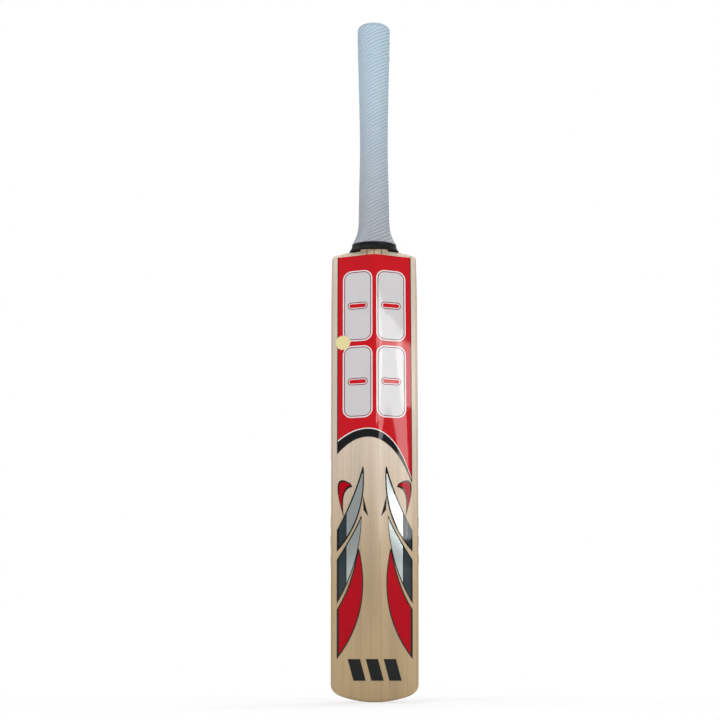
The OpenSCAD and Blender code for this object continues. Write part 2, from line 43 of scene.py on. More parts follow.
# ---------------------------------------------------------------- sizes, in millimetres
# The toe's tip is at height 0 and the upper face at y = 0, as in the CAD model.
BLADE_LEN = 560
BLADE_W = 108
SHOULDER_TAPER = 2.5
SHOULDER_RUN = 70
BOW = 12
BOW_START = 380
CROWN = 1.2
CORNER_R = 4.5
TOE_SAG = 12
TOE_R = 11
TOE_SOFT = 2.5
TOE_BLEND = 90
SHOULDER_R = 4
SPINE = [(0, 22), (0.08, 30), (0.3, 56.5), (0.54, 53), (0.81, 41), (1, 35.5)]
EDGE = [(0, 20.5), (0.08, 27.5), (0.3, 37), (0.54, 35), (0.81, 25), (1, 14)]
RIDGE_R = 0.09
FLANK_HOLLOW = 1.2

NECK_HALF_W = 30
NECK_HALF_D = 19
NECK_H = 34
NECK_FADE = 14
ROOT_H = 2.5
HANDLE_LEN = 311
LEAN = radians(2.2)
HANDLE_Y = 15.5
CANE_BASE_R = 16.6
CANE_WAIST_R = 15.2
CANE_KNOB_R = 18.2
CANE = [(0, CANE_BASE_R), (0.2, CANE_BASE_R), (0.46, CANE_WAIST_R),
        (0.74, (CANE_WAIST_R + CANE_KNOB_R) / 2), (0.93, CANE_KNOB_R), (1, CANE_KNOB_R)]
TWINE_T = 0.7
GRIP_T = 2
GRIP_END_T = 3
GRIP_HOLE_R = 9
GRIP_ROLL_R = 7
FOOT_FLARE = 2.4
FLARE_H = 30
COLLAR_H = 9.5
COLLAR_FOOT = 32.5
COLLAR_TOP = 28
COLLAR_FOOT_S = ROOT_H + 0.5
COLLAR_TOP_S = COLLAR_FOOT_S + COLLAR_H
SLIP = 0.1
GRIP_FOOT = COLLAR_TOP_S + SLIP
ROUND_OUT = 1 / cos(pi / 36)

LABEL_T = 0.3
FOIL_T = 0.2
FACING_T = 0.25
LABEL_TOP = BLADE_LEN - 3
FACE_LABEL_W = 98
BACK_LABEL_W = 93
PANEL_W = 79
PANEL_TOP = BLADE_LEN - 23
PANEL_SPLIT = 5
PANEL_GAP = 6
PANEL_R = 11
FACE_PANEL_H = 84
BACK_PANEL_H = 92
# An arch: place and height of its crest, then how it falls to each side, by squares and fourth powers
FACE_ARCH = (-13, 346, (0.0157, 0), (0.0107, 0))
BACK_ARCH = (10, 322.5, (0.0121, 1.8e-6), (0.0153, 0))
FACE_ARCH_TOP = (-13, 359, (0.0125, 0), (0.0138, 0))
BACK_ARCH_TOP = (10, 332.5, (0.0112, 2.9e-6), (0.0118, 0))

HOLD_Z = BLADE_LEN + HANDLE_LEN / 2
HOLD_Y = HANDLE_Y - tan(LEAN) * HANDLE_LEN / 2


# ---------------------------------------------------------------- the bat's surfaces
def clamp(v, lo=0.0, hi=1.0):
    return max(lo, min(hi, v))


def smooth(v):
    v = clamp(v)
    return v * v * (3 - 2 * v)


def curve(points, t):
    """A smooth curve through (place, value) pairs."""
    last = len(points) - 1
    i = 0
    while i < last - 1 and t >= points[i + 1][0]:
        i += 1

    def slope(k):
        a, b = points[max(k - 1, 0)], points[min(k + 1, last)]
        return (b[1] - a[1]) / (b[0] - a[0])

    (t0, v0), (t1, v1) = points[i], points[i + 1]
    h = t1 - t0
    u = (t - t0) / h
    return (v0 * (2 * u ** 3 - 3 * u * u + 1) + v1 * (3 * u * u - 2 * u ** 3)
            + h * (slope(i) * (u ** 3 - 2 * u * u + u) + slope(i + 1) * (u ** 3 - u * u)))


def share(z):
    return clamp(z / BLADE_LEN)


def half_w(z):
    return (BLADE_W - SHOULDER_TAPER * clamp(1 - (BLADE_LEN - z) / SHOULDER_RUN) ** 2) / 2


def bow_y(z):
    return -BOW * clamp(1 - z / BOW_START, 0, 2) ** 2


def front_y(x, z):
    return bow_y(z) + CROWN * (x / half_w(z)) ** 2


def fall(t):
    return sqrt(t * t + RIDGE_R * RIDGE_R) - RIDGE_R


def back_y(x, z):
    edge = curve(EDGE, share(z))
    spine = curve(SPINE, share(z))
    t = min(1, abs(x) / (half_w(z) - CORNER_R))
    return bow_y(z) + edge + (spine - edge) * (1 - fall(t) / fall(1)) ** FLANK_HOLLOW


TOE_CURVE_R = (TOE_SAG ** 2 + BLADE_W ** 2 / 4) / (2 * TOE_SAG)


def toe_z(x):
    return TOE_CURVE_R - sqrt(TOE_CURVE_R ** 2 - x * x)


def draw_in(d, r):
    """How far a rounded end of radius r draws in at distance d from that end."""
    return 0 if d >= r else r - sqrt(r * r - (r - max(d, 0)) ** 2)


def edge_mid_y(z):
    return bow_y(z) + CROWN + curve(EDGE, share(z)) / 2


def to_frame(x, y, z):
    return Vector((x * MM, (y - HOLD_Y) * MM, (z - HOLD_Z) * MM))


def on_handle(x, y, s):
    """A point given along the leaning handle, at height s above the shoulders."""
    return to_frame(x, HANDLE_Y + y * cos(LEAN) - s * sin(LEAN), BLADE_LEN + y * sin(LEAN) + s * cos(LEAN))


# Where a film lies: (across, height, distance outwards) to a point
def face_spot(x, z, out):
    return to_frame(x, front_y(x, z) - out, z)


def back_spot(x, z, out):
    return to_frame(x, back_y(x, z) + out, z)


def edge_spot(side):
    return lambda y, z, out: to_frame(side * (half_w(z) + out), edge_mid_y(z) + y, z)


# ---------------------------------------------------------------- building pieces
def finish_piece(name, mesh, material, nodes, slot, sharp=40):
    mesh.set_sharp_from_angle(angle=radians(sharp))
    mesh.materials.append(material)
    piece = bpy.data.objects.new(name, mesh)
    bpy.context.scene.collection.objects.link(piece)
    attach(piece, "root")
    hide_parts(*nodes)
    return piece


def mesh_of(name, points, faces):
    mesh = bpy.data.meshes.new(name)
    mesh.from_pydata([tuple(p) for p in points], [], faces)
    mesh.shade_smooth()
    mesh.validate()
    return mesh


def tube_faces(rings, n, start=0, inward=False):
    faces = []
    for r in range(rings - 1):
        for k in range(n):
            a, b = start + r * n + k, start + r * n + (k + 1) % n
            quad = (a, b, b + n, a + n)
            faces.append(quad[::-1] if inward else quad)
    return faces


def decal(name, outlines, spot, material, nodes, slot, thick=LABEL_T, under=0.0, cell=(4, 8)):
    """A thin film cut to outlines (the first one outside, the others holes) and laid on the bat."""
    bm = bmesh.new()
    for outline in outlines:
        corners = [bm.verts.new((u, 0, z)) for u, z in outline]
        for i, corner in enumerate(corners):
            bm.edges.new((corner, corners[(i + 1) % len(corners)]))
    bmesh.ops.triangle_fill(bm, use_beauty=True, use_dissolve=False, edges=bm.edges[:])
    us = [u for u, z in outlines[0]]
    zs = [z for u, z in outlines[0]]
    for axis, values, step in ((0, us, cell[0]), (2, zs, cell[1])):
        normal = Vector((1, 0, 0)) if axis == 0 else Vector((0, 0, 1))
        for k in range(floor(min(values) / step) + 1, floor(max(values) / step) + 1):
            place = normal * k * step
            everything = bm.verts[:] + bm.edges[:] + bm.faces[:]
            bmesh.ops.bisect_plane(bm, geom=everything, dist=1e-5, plane_co=place, plane_no=normal)
    grown = bmesh.ops.extrude_face_region(bm, geom=bm.faces[:], use_keep_orig=True)
    top = {v for v in grown["geom"] if isinstance(v, bmesh.types.BMVert)}
    for v in bm.verts:
        v.co = spot(v.co.x, v.co.z, under + (thick if v in top else 0))
    bmesh.ops.recalc_face_normals(bm, faces=bm.faces[:])
    mesh = bpy.data.meshes.new(name)
    bm.to_mesh(mesh)
    bm.free()
    mesh.shade_smooth()
    return finish_piece(name, mesh, material, nodes, slot, 50)


# ---------------------------------------------------------------- outlines, as (across, height) points
def arch_z(arch, x):
    squares, fourths = arch[2 if x < arch[0] else 3]
    return arch[1] - squares * (x - arch[0]) ** 2 - fourths * (x - arch[0]) ** 4


def spread(lo, hi, steps):
    return [lo + (hi - lo) * i / steps for i in range(steps + 1)]


def round_box(mid_z, half_x, half_z, r, mid_x=0, steps=8):
    points = []
    for sx, sz, start in ((1, 1, 0), (-1, 1, 90), (-1, -1, 180), (1, -1, 270)):
        for i in range(steps + 1):
            a = radians(start + 90 * i / steps)
            points.append((mid_x + sx * (half_x - r) + r * cos(a), mid_z + sz * (half_z - r) + r * sin(a)))
    return points


def between(low, high, xs):
    """The outline between two curves."""
    return [(x, low(x)) for x in xs] + [(x, high(x)) for x in reversed(xs)]


# ---------------------------------------------------------------- materials
def new_material(name):
    material = bpy.data.materials.new(name)
    material.use_nodes = True
    tree = material.node_tree
    return material, tree, tree.nodes["Principled BSDF"]


def node(tree, kind, **inputs):
    made = tree.nodes.new(kind)
    for key, value in inputs.items():
        made.inputs[key.replace("_", " ")].default_value = value
    return made


def math_node(tree, operation, a, b=None, clamped=False):
    made = tree.nodes.new("ShaderNodeMath")
    made.operation = operation
    made.use_clamp = clamped
    for socket, value in zip(made.inputs, (a, b)):
        if value is None:
            continue
        if hasattr(value, "is_output"):
            tree.links.new(value, socket)
        else:
            socket.default_value = value
    return made.outputs[0]


def mix_colour(tree, factor, a, b):
    made = tree.nodes.new("ShaderNodeMix")
    made.data_type = "RGBA"
    sockets = {"Factor": made.inputs[0], "A": made.inputs[6], "B": made.inputs[7]}
    for key, value in (("Factor", factor), ("A", a), ("B", b)):
        if hasattr(value, "is_output"):
            tree.links.new(value, sockets[key])
        else:
            sockets[key].default_value = value
    return made.outputs[2]


def new_group(name, inputs, outputs):
    """A shader node group. inputs are (name, default) and outputs are (name, socket type)."""
    group = bpy.data.node_groups.new(name, "ShaderNodeTree")
    for label, value in inputs:
        socket = group.interface.new_socket(label, in_out="INPUT", socket_type="NodeSocketFloat")
        socket.default_value = value
    for label, kind in outputs:
        group.interface.new_socket(label, in_out="OUTPUT", socket_type=kind)
    return group, group.nodes.new("NodeGroupInput"), group.nodes.new("NodeGroupOutput")


def make_grain_group():
    """Straight wood grain along Z: growth lines across X, and fine fibres."""
    group, given, out = new_group(
        "straight_grain", [("Line Gap", 0.0135), ("Line Width", 0.07), ("Fibre", 900.0), ("Wander", 0.35)],
        [("Lines", "NodeSocketFloat"), ("Fibres", "NodeSocketFloat"), ("Clouds", "NodeSocketFloat"),
         ("Streaks", "NodeSocketFloat")])
    place = group.nodes.new("ShaderNodeTexCoord").outputs["Object"]
    stretched = group.nodes.new("ShaderNodeMapping")
    stretched.inputs["Scale"].default_value = (1, 0.35, 0.03)
    group.links.new(place, stretched.inputs["Vector"])
    slow = node(group, "ShaderNodeTexNoise", Scale=45.0, Detail=2.0)
    group.links.new(stretched.outputs[0], slow.inputs["Vector"])
    axes = group.nodes.new("ShaderNodeSeparateXYZ")
    group.links.new(place, axes.inputs[0])
    across = math_node(group, "DIVIDE", axes.outputs["X"], given.outputs["Line Gap"])
    wander = math_node(group, "MULTIPLY", math_node(group, "SUBTRACT", slow.outputs["Fac"], 0.5), 2.2)
    wander = math_node(group, "MULTIPLY", wander, given.outputs["Wander"])
    phase = math_node(group, "ADD", across, wander)
    near = math_node(group, "ABSOLUTE", math_node(group, "SUBTRACT", math_node(group, "FRACT", phase), 0.5))
    line = math_node(group, "SUBTRACT", 1.0, math_node(group, "DIVIDE", near, given.outputs["Line Width"]), True)
    group.links.new(line, out.inputs["Lines"])
    fine = group.nodes.new("ShaderNodeMapping")
    fine.inputs["Scale"].default_value = (1, 1, 0.012)
    group.links.new(place, fine.inputs["Vector"])
    fibre = node(group, "ShaderNodeTexNoise", Detail=3.0, Roughness=0.6)
    group.links.new(fine.outputs[0], fibre.inputs["Vector"])
    group.links.new(given.outputs["Fibre"], fibre.inputs["Scale"])
    group.links.new(fibre.outputs["Fac"], out.inputs["Fibres"])
    group.links.new(slow.outputs["Fac"], out.inputs["Clouds"])
    wide = group.nodes.new("ShaderNodeMapping")
    wide.inputs["Scale"].default_value = (1, 0.6, 0.07)
    group.links.new(place, wide.inputs["Vector"])
    streak = node(group, "ShaderNodeTexNoise", Scale=62.0, Detail=1.0)
    group.links.new(wide.outputs[0], streak.inputs["Vector"])
    group.links.new(streak.outputs["Fac"], out.inputs["Streaks"])
    return group


def make_wear_group():
    """Handling marks: soft smudges for gloss, and a fine unevenness of the surface."""
    group, given, out = new_group(
        "handling", [("Smudge Scale", 40.0), ("Grit Scale", 1800.0)],
        [("Smudges", "NodeSocketFloat"), ("Grit", "NodeSocketFloat")])
    place = group.nodes.new("ShaderNodeTexCoord").outputs["Object"]
    for source, label, detail in (("Smudge Scale", "Smudges", 4.0), ("Grit Scale", "Grit", 2.0)):
        noise = node(group, "ShaderNodeTexNoise", Detail=detail)
        group.links.new(place, noise.inputs["Vector"])
        group.links.new(given.outputs[source], noise.inputs["Scale"])
        group.links.new(noise.outputs["Fac"], out.inputs[label])
    return group


GRAIN = make_grain_group()
WEAR = make_wear_group()


def place_group(tree, group, **values):
    made = tree.nodes.new("ShaderNodeGroup")
    made.node_tree = group
    for key, value in values.items():
        made.inputs[key.replace("_", " ")].default_value = value
    return made


def add_bump(tree, shader, height, distance, strength=1.0):
    bump = node(tree, "ShaderNodeBump", Strength=strength, Distance=distance)
    tree.links.new(height, bump.inputs["Height"])
    tree.links.new(bump.outputs[0], shader.inputs["Normal"])


def ranged(tree, value, low, high):
    made = tree.nodes.new("ShaderNodeMapRange")
    made.inputs["To Min"].default_value = low
    made.inputs["To Max"].default_value = high
    tree.links.new(value, made.inputs["Value"])
    return made.outputs[0]


def fade_mask(tree, source, axis, low, high):
    """0 at low and 1 at high along one axis of a texture coordinate."""
    axes = tree.nodes.new("ShaderNodeSeparateXYZ")
    tree.links.new(tree.nodes.new("ShaderNodeTexCoord").outputs[source], axes.inputs[0])
    fade = tree.nodes.new("ShaderNodeMapRange")
    fade.interpolation_type = "SMOOTHSTEP"
    fade.inputs["From Min"].default_value = low
    fade.inputs["From Max"].default_value = high
    tree.links.new(axes.outputs[axis], fade.inputs["Value"])
    return fade.outputs[0]


def tinted(tree, colour, mask, tint):
    """The colour multiplied by a tint where the mask is 1."""
    made = tree.nodes.new("ShaderNodeMix")
    made.data_type = "RGBA"
    made.blend_type = "MULTIPLY"
    made.inputs[7].default_value = tint
    tree.links.new(mask, made.inputs[0])
    tree.links.new(colour, made.inputs[6])
    return made.outputs[2]


def make_wood(name, pale, dark, line, gap, width, strength, rough, coat=0.0, aged=None):
    """Straight-grained wood. aged is the colour of its broad streaks, the tint of its back and the
    further tint of the back near the toe."""
    material, tree, shader = new_material(name)
    grain = place_group(tree, GRAIN, Line_Gap=gap, Line_Width=width)
    body = mix_colour(tree, ranged(tree, grain.outputs["Clouds"], 0.0, 1.0), pale, dark)
    if aged:
        streaks = math_node(tree, "MULTIPLY", math_node(tree, "SUBTRACT", grain.outputs["Streaks"], 0.44), 3.5, True)
        body = mix_colour(tree, streaks, body, aged[0])
    fibred = mix_colour(tree, ranged(tree, grain.outputs["Fibres"], -0.1, 0.45), body, line)
    lined = mix_colour(tree, math_node(tree, "MULTIPLY", grain.outputs["Lines"], strength), fibred, line)
    if aged:
        back = fade_mask(tree, "Normal", "Y", -0.3, 0.3)
        toe = math_node(tree, "MULTIPLY", back, fade_mask(tree, "Object", "Z", -0.36, -0.6))
        lined = tinted(tree, tinted(tree, lined, back, aged[1]), toe, aged[2])
    tree.links.new(lined, shader.inputs["Base Color"])
    tree.links.new(ranged(tree, grain.outputs["Fibres"], rough - 0.08, rough + 0.1), shader.inputs["Roughness"])
    shader.inputs["Coat Weight"].default_value = coat
    shader.inputs["Coat Roughness"].default_value = 0.12
    add_bump(tree, shader, grain.outputs["Fibres"], 0.0001, 0.35)
    return material


def make_print(name, colour, worn, rough=0.35, metallic=0.0, coat=0.55, gloss=0.0):
    """Gloss vinyl or foil of one colour, with smudges that dull it a little."""
    material, tree, shader = new_material(name)
    wear = place_group(tree, WEAR)
    tree.links.new(mix_colour(tree, ranged(tree, wear.outputs["Smudges"], -0.2, 0.7), colour, worn),
                   shader.inputs["Base Color"])
    tree.links.new(ranged(tree, wear.outputs["Smudges"], rough - 0.06, rough + 0.12), shader.inputs["Roughness"])
    shader.inputs["Metallic"].default_value = metallic
    shader.inputs["Coat Weight"].default_value = coat
    shader.inputs["Coat Roughness"].default_value = 0.04
    shader.inputs["Specular IOR Level"].default_value = gloss
    add_bump(tree, shader, wear.outputs["Grit"], 0.00002, 0.1)
    return material


def make_rubber(name, colour, dusty, rough, sheen=0.2, gloss=0.4):
    material, tree, shader = new_material(name)
    wear = place_group(tree, WEAR, Smudge_Scale=60.0, Grit_Scale=2600.0)
    tree.links.new(mix_colour(tree, ranged(tree, wear.outputs["Smudges"], -0.1, 0.9), colour, dusty),
                   shader.inputs["Base Color"])
    tree.links.new(ranged(tree, wear.outputs["Grit"], rough - 0.08, rough + 0.08), shader.inputs["Roughness"])
    shader.inputs["Sheen Weight"].default_value = sheen
    shader.inputs["Specular IOR Level"].default_value = gloss
    add_bump(tree, shader, wear.outputs["Grit"], 0.00012, 0.4)
    return material


WILLOW = make_wood("willow", (0.79, 0.715, 0.61, 1), (0.71, 0.62, 0.51, 1), (0.45, 0.37, 0.28, 1),
                   0.0115, 0.06, 0.55, 0.42, 0.25,
                   ((0.61, 0.56, 0.49, 1), (0.96, 0.9, 0.86, 1), (0.69, 0.6, 0.4, 1)))
CANE_WOOD = make_wood("raw_cane", (0.66, 0.53, 0.36, 1), (0.58, 0.44, 0.28, 1), (0.36, 0.25, 0.14, 1),
                      0.0016, 0.2, 0.5, 0.6)


def make_grip_rubber():
    """Pale blue-grey rubber, with painted shade that makes it a little darker in the grooves between its ribs, and
    painted shade that makes the lower part of the grip greyer and darker.
    """
    material, tree, shader = new_material("grip_rubber")
    wear = place_group(tree, WEAR, Smudge_Scale=60.0, Grit_Scale=2600.0)
    rib = tree.nodes.new("ShaderNodeAttribute")
    rib.attribute_name = "rib_height"
    # painted shade: the colour darkens in the grooves between the ribs
    groove_shade_fac = ranged(tree, rib.outputs["Fac"], 0.15, 1.0)
    upper_with_groove_shade = mix_colour(tree, groove_shade_fac, (0.3, 0.4, 0.48, 1), (0.49, 0.63, 0.735, 1))
    lower_shade_with_groove_shade = mix_colour(tree, groove_shade_fac, (0.24, 0.255, 0.28, 1), (0.41, 0.43, 0.47, 1))
    # painted shade: the grip is greyer and darker from its foot up to a little above the middle of the handle
    high = tree.nodes.new("ShaderNodeSeparateXYZ")
    tree.links.new(tree.nodes.new("ShaderNodeTexCoord").outputs["Object"], high.inputs[0])
    lower_shade_fade = tree.nodes.new("ShaderNodeMapRange")
    for label, value in (("From Min", -0.14), ("From Max", 0.06)):
        lower_shade_fade.inputs[label].default_value = value
    tree.links.new(high.outputs["Z"], lower_shade_fade.inputs["Value"])
    body = mix_colour(tree, lower_shade_fade.outputs[0], lower_shade_with_groove_shade, upper_with_groove_shade)
    dusty = mix_colour(tree, ranged(tree, wear.outputs["Smudges"], -0.3, 0.5), body, (0.47, 0.5, 0.54, 1))
    tree.links.new(dusty, shader.inputs["Base Color"])
    tree.links.new(ranged(tree, wear.outputs["Grit"], 0.5, 0.66), shader.inputs["Roughness"])
    shader.inputs["Sheen Weight"].default_value = 0.1
    shader.inputs["Specular IOR Level"].default_value = 0.35
    add_bump(tree, shader, wear.outputs["Grit"], 0.0001, 0.4)
    return material


GRIP_RUBBER = make_grip_rubber()
COLLAR_RUBBER = make_rubber("collar_rubber", (0.003, 0.005, 0.005, 1), (0.008, 0.011, 0.011, 1), 0.4, 0.0, 0.15)
SPRING_RUBBER = make_rubber("spring_rubber", (0.2, 0.15, 0.1, 1), (0.26, 0.2, 0.14, 1), 0.7)
TWINE = make_rubber("waxed_twine", (0.62, 0.53, 0.36, 1), (0.5, 0.42, 0.27, 1), 0.8, 0.4)
RED = make_print("red_vinyl", (0.56, 0.004, 0.011, 1), (0.46, 0.003, 0.009, 1))
DARK_RED = make_print("dark_red_line", (0.2, 0.015, 0.025, 1), (0.15, 0.012, 0.02, 1))
WHITE = make_print("white_line", (0.8, 0.78, 0.77, 1), (0.7, 0.68, 0.67, 1))
BLACK = make_print("black_vinyl", (0.004, 0.005, 0.005, 1), (0.007, 0.009, 0.01, 1))
SLATE = make_print("slate_vinyl", (0.018, 0.034, 0.041, 1), (0.028, 0.044, 0.052, 1))
SILVER = make_print("silver_foil", (0.61, 0.595, 0.605, 1), (0.54, 0.53, 0.54, 1))
SHADED_SILVER = make_print("shaded_silver", (0.42, 0.47, 0.46, 1), (0.36, 0.41, 0.4, 1), 0.15, 0.65, 1.0)
DEEP_RED = make_print("deep_red_vinyl", (0.44, 0.001, 0.009, 1), (0.36, 0.001, 0.007, 1), coat=0.2)
SEAL_GOLD = make_print("seal_foil", (0.78, 0.7, 0.36, 1), (0.68, 0.6, 0.28, 1), 0.4, 0.0, 0.2)


def make_facing_film():
    """Clear film: nearly invisible, with a gloss of its own."""
    material, tree, shader = new_material("clear_film")
    wear = place_group(tree, WEAR, Smudge_Scale=22.0)
    tree.links.new(mix_colour(tree, wear.outputs["Smudges"], (0.95, 0.95, 0.95, 1), (0.9, 0.9, 0.9, 1)),
                   shader.inputs["Base Color"])
    tree.links.new(ranged(tree, wear.outputs["Smudges"], 0.03, 0.1), shader.inputs["Roughness"])
    tree.links.new(ranged(tree, wear.outputs["Smudges"], 0.04, 0.08), shader.inputs["Alpha"])
    shader.inputs["Coat Weight"].default_value = 1.0
    shader.inputs["Coat Roughness"].default_value = 0.03
    return material


CLEAR = make_facing_film()


# ---------------------------------------------------------------- the blade
def blade_ring(level):
    """The blade's outline at one height: right half from the face to the back, then the left half."""
    hw = half_w(level) - draw_in(level, TOE_R) - draw_in(BLADE_LEN - level, SHOULDER_R)
    soft = draw_in(level, TOE_SOFT)
    cx = hw - CORNER_R
    columns = 26
    corner = 6
    half = []

    def ring_z(x):
        lower_shade_fade = ROOT_H * smooth((50 - abs(x)) / 18) * clamp(1 - (BLADE_LEN - level) / 10) ** 2
        return level + lower_shade_fade + toe_z(x) * clamp(1 - level / TOE_BLEND) ** 2

    for i in range(columns + 1):
        x = cx * i / columns
        z = ring_z(x)
        half.append((x, front_y(x, z) + soft, z))
    for k in range(1, corner + 1):
        a = pi / 2 * k / corner
        x = cx + CORNER_R * sin(a)
        z = ring_z(x)
        half.append((x, front_y(cx, z) + CORNER_R * (1 - cos(a)) + soft, z))
    for k in range(corner):
        a = pi / 2 * k / corner
        x = cx + CORNER_R * cos(a)
        z = ring_z(x)
        half.append((x, back_y(half_w(z), z) - CORNER_R * (1 - sin(a)) - soft, z))
    for i in range(columns, -1, -1):
        x = cx * i / columns
        z = ring_z(x)
        half.append((x, back_y(x * (half_w(z) - CORNER_R) / cx, z) - soft, z))
    return [to_frame(*p) for p in half] + [to_frame(-x, y, z) for x, y, z in half[-2:0:-1]]


def build_blade():
    levels = [TOE_R * (1 - cos(radians(a))) for a in range(0, 90, 9)]
    levels += spread(TOE_R, BLADE_LEN - SHOULDER_R, 110)
    levels += [BLADE_LEN - SHOULDER_R * (1 - sin(radians(a))) for a in range(15, 91, 15)]
    rings = [blade_ring(level) for level in levels]
    n = len(rings[0])
    points = [p for ring in rings for p in ring]
    faces = tube_faces(len(rings), n)
    back = n // 2
    last = (len(rings) - 1) * n
    for k in range(n // 4):
        for a, b, c, d in ((k, k + 1, back - k - 1, back - k),
                           ((n - k) % n, n - k - 1, n - back + k + 1, (n - back + k) % n)):
            quad = (a, b, c, d)
            faces.append(quad if a > n // 2 or (a == 0 and b > n // 2) else quad[::-1])
            top = tuple(last + i for i in quad)
            faces.append(top[::-1] if a > n // 2 or (a == 0 and b > n // 2) else top)
    finish_piece("willow_blade", mesh_of("willow_blade", points, faces), WILLOW, ["blade"], "willow", 35)


# ---------------------------------------------------------------- handle, grip and collar
def cane_r(s):
    return curve(CANE, clamp(s / HANDLE_LEN)) - draw_in(HANDLE_LEN - GRIP_END_T - s, 3)


def neck_w(s):
    u = clamp(s / NECK_H)
    return NECK_HALF_W + (CANE_BASE_R + 1.5 - NECK_HALF_W) * (1 - (1 - u) ** 1.5)


def neck_d(s):
    return NECK_HALF_D + (cane_r(NECK_H) - NECK_HALF_D) * clamp(s / NECK_H) ** 3


def bore(s, neck):
    bound = cane_r(s) + TWINE_T
    fade = clamp((NECK_H + NECK_FADE - s) / NECK_FADE)
    return (bound + max(neck(s) - bound, 0) * fade + SLIP) * ROUND_OUT


def grip_size(s):
    flare = FOOT_FLARE * clamp(1 - (s - GRIP_FOOT) / FLARE_H) ** 2
    return bore(s, neck_w) + GRIP_T + flare, bore(s, neck_d) + GRIP_T


def oval(rx, ry, s, n, groove_shade_fac=None):
    ring = []
    for k in range(n):
        a = 2 * pi * k / n - pi / 2
        out = groove_shade_fac(k / n, s) if groove_shade_fac else 0
        ring.append(on_handle((rx + out) * cos(a), (ry + out) * sin(a), s))
    return ring


RING_LINE_S = 266
KNOB_LINE_S = 288
RIBS_ROUND = 14
RIB_PITCH = 4.7
CUTS_ROUND = 22


def rib_pattern(turn, s):
    """Slanted ribs cut into scales by finer grooves that run the other way: 0 in a groove, 1 on a rib."""
    a = turn * RIBS_ROUND - s / RIB_PITCH
    b = turn * CUTS_ROUND + s / 3.6
    ramp = a - floor(a)
    cut = abs(b - floor(b) - 0.5) * 2
    return smooth(min(ramp * 1.25, (1 - ramp) * 4)) * (0.72 + 0.28 * smooth(cut * 2.5))


def scale_relief(turn, s):
    """The ribs, with two plain raised lines near the grip's end."""
    lines = 0.45 * exp(-((s - RING_LINE_S) / 1.0) ** 2) + 0.25 * exp(-((s - KNOB_LINE_S) / 0.9) ** 2)
    fade = smooth((s - GRIP_FOOT - 2) / 4) * smooth((HANDLE_LEN - 8 - s) / 4)
    fade *= 1 - exp(-((s - RING_LINE_S) / 1.8) ** 2)
    return lines + fade * 0.6 * (rib_pattern(turn, s) - 0.75)


def build_grip():
    n = 196
    side = spread(GRIP_FOOT + 0.3, HANDLE_LEN - GRIP_ROLL_R, 400)
    w0, d0 = grip_size(GRIP_FOOT)
    rings = [oval(w0 - 1.2, d0 - 1.2, GRIP_FOOT, n), oval(w0 - 0.3, d0 - 0.3, GRIP_FOOT + 0.1, n)]
    for s in side:
        w, d = grip_size(s)
        rings.append(oval(w, d, s, n, scale_relief))
    end_w = grip_size(HANDLE_LEN - GRIP_ROLL_R)[0]
    for a in range(10, 90, 10):
        r = end_w - GRIP_ROLL_R * (1 - cos(radians(a)))
        rings.append(oval(r, r, HANDLE_LEN - GRIP_ROLL_R * (1 - sin(radians(a))), n))
    for r, s in ((GRIP_HOLE_R + 2, HANDLE_LEN), (GRIP_HOLE_R + 0.6, HANDLE_LEN - 0.1),
                 (GRIP_HOLE_R, HANDLE_LEN - 0.7), (GRIP_HOLE_R, HANDLE_LEN - GRIP_END_T + SLIP)):
        rings.append(oval(r, r, s, n))
    rings.append(oval(end_w - GRIP_T, end_w - GRIP_T, HANDLE_LEN - GRIP_END_T + SLIP, n))
    for s in reversed(spread(GRIP_FOOT, HANDLE_LEN - GRIP_END_T - 4, 24)):
        rings.append(oval(bore(s, neck_w) + SLIP, bore(s, neck_d) + SLIP, s, n))
    points = [p for ring in rings for p in ring]
    faces = tube_faces(len(rings), n)
    last = (len(rings) - 1) * n
    faces += [(k, last + k, last + (k + 1) % n, (k + 1) % n) for k in range(n)]
    mesh = mesh_of("scaled_grip", points, faces)
    height = mesh.attributes.new("rib_height", "FLOAT", "POINT")
    first = 2 * n
    for i in range(len(side)):
        for k in range(n):
            height.data[first + i * n + k].value = rib_pattern(k / n, side[i])
    finish_piece("scaled_grip", mesh, GRIP_RUBBER, ["rubber_grip"], "grip_rubber", 60)


def build_collar():
    n = 144
    wall = COLLAR_TOP - neck_w(COLLAR_TOP_S)

    def seam(turn, s):
        return -0.7 * exp(-((turn - 0.5) * n / 1.2) ** 2) - 0.7 * exp(-(min(turn, 1 - turn) * n / 1.2) ** 2)

    rings = []
    for i in range(13):
        u = i / 12
        s = COLLAR_FOOT_S + COLLAR_H * u
        lip = 0.8 * (draw_in(u * 12, 1.6) + draw_in((1 - u) * 12, 1.6))
        waist = -1.1 * sin(pi * u)
        rings.append(oval(COLLAR_FOOT + (COLLAR_TOP - COLLAR_FOOT) * u + waist - lip,
                          neck_d(s) + wall + 1 + 0.5 * waist - lip, s, n, seam))
    for u in (1, 0):
        s = COLLAR_FOOT_S + COLLAR_H * u
        rings.append(oval(neck_w(s) + SLIP, neck_d(s) + SLIP, s, n))
    points = [p for ring in rings for p in ring]
    faces = tube_faces(len(rings), n)
    last = (len(rings) - 1) * n
    faces += [(k, last + k, last + (k + 1) % n, (k + 1) % n) for k in range(n)]
    finish_piece("neck_collar", mesh_of("neck_collar", points, faces), COLLAR_RUBBER, ["shoulder_collar"],
                 "collar_rubber", 50)


# ---------------------------------------------------------------- labels
LINE_W = 1.2
BORDER_W = 1.0


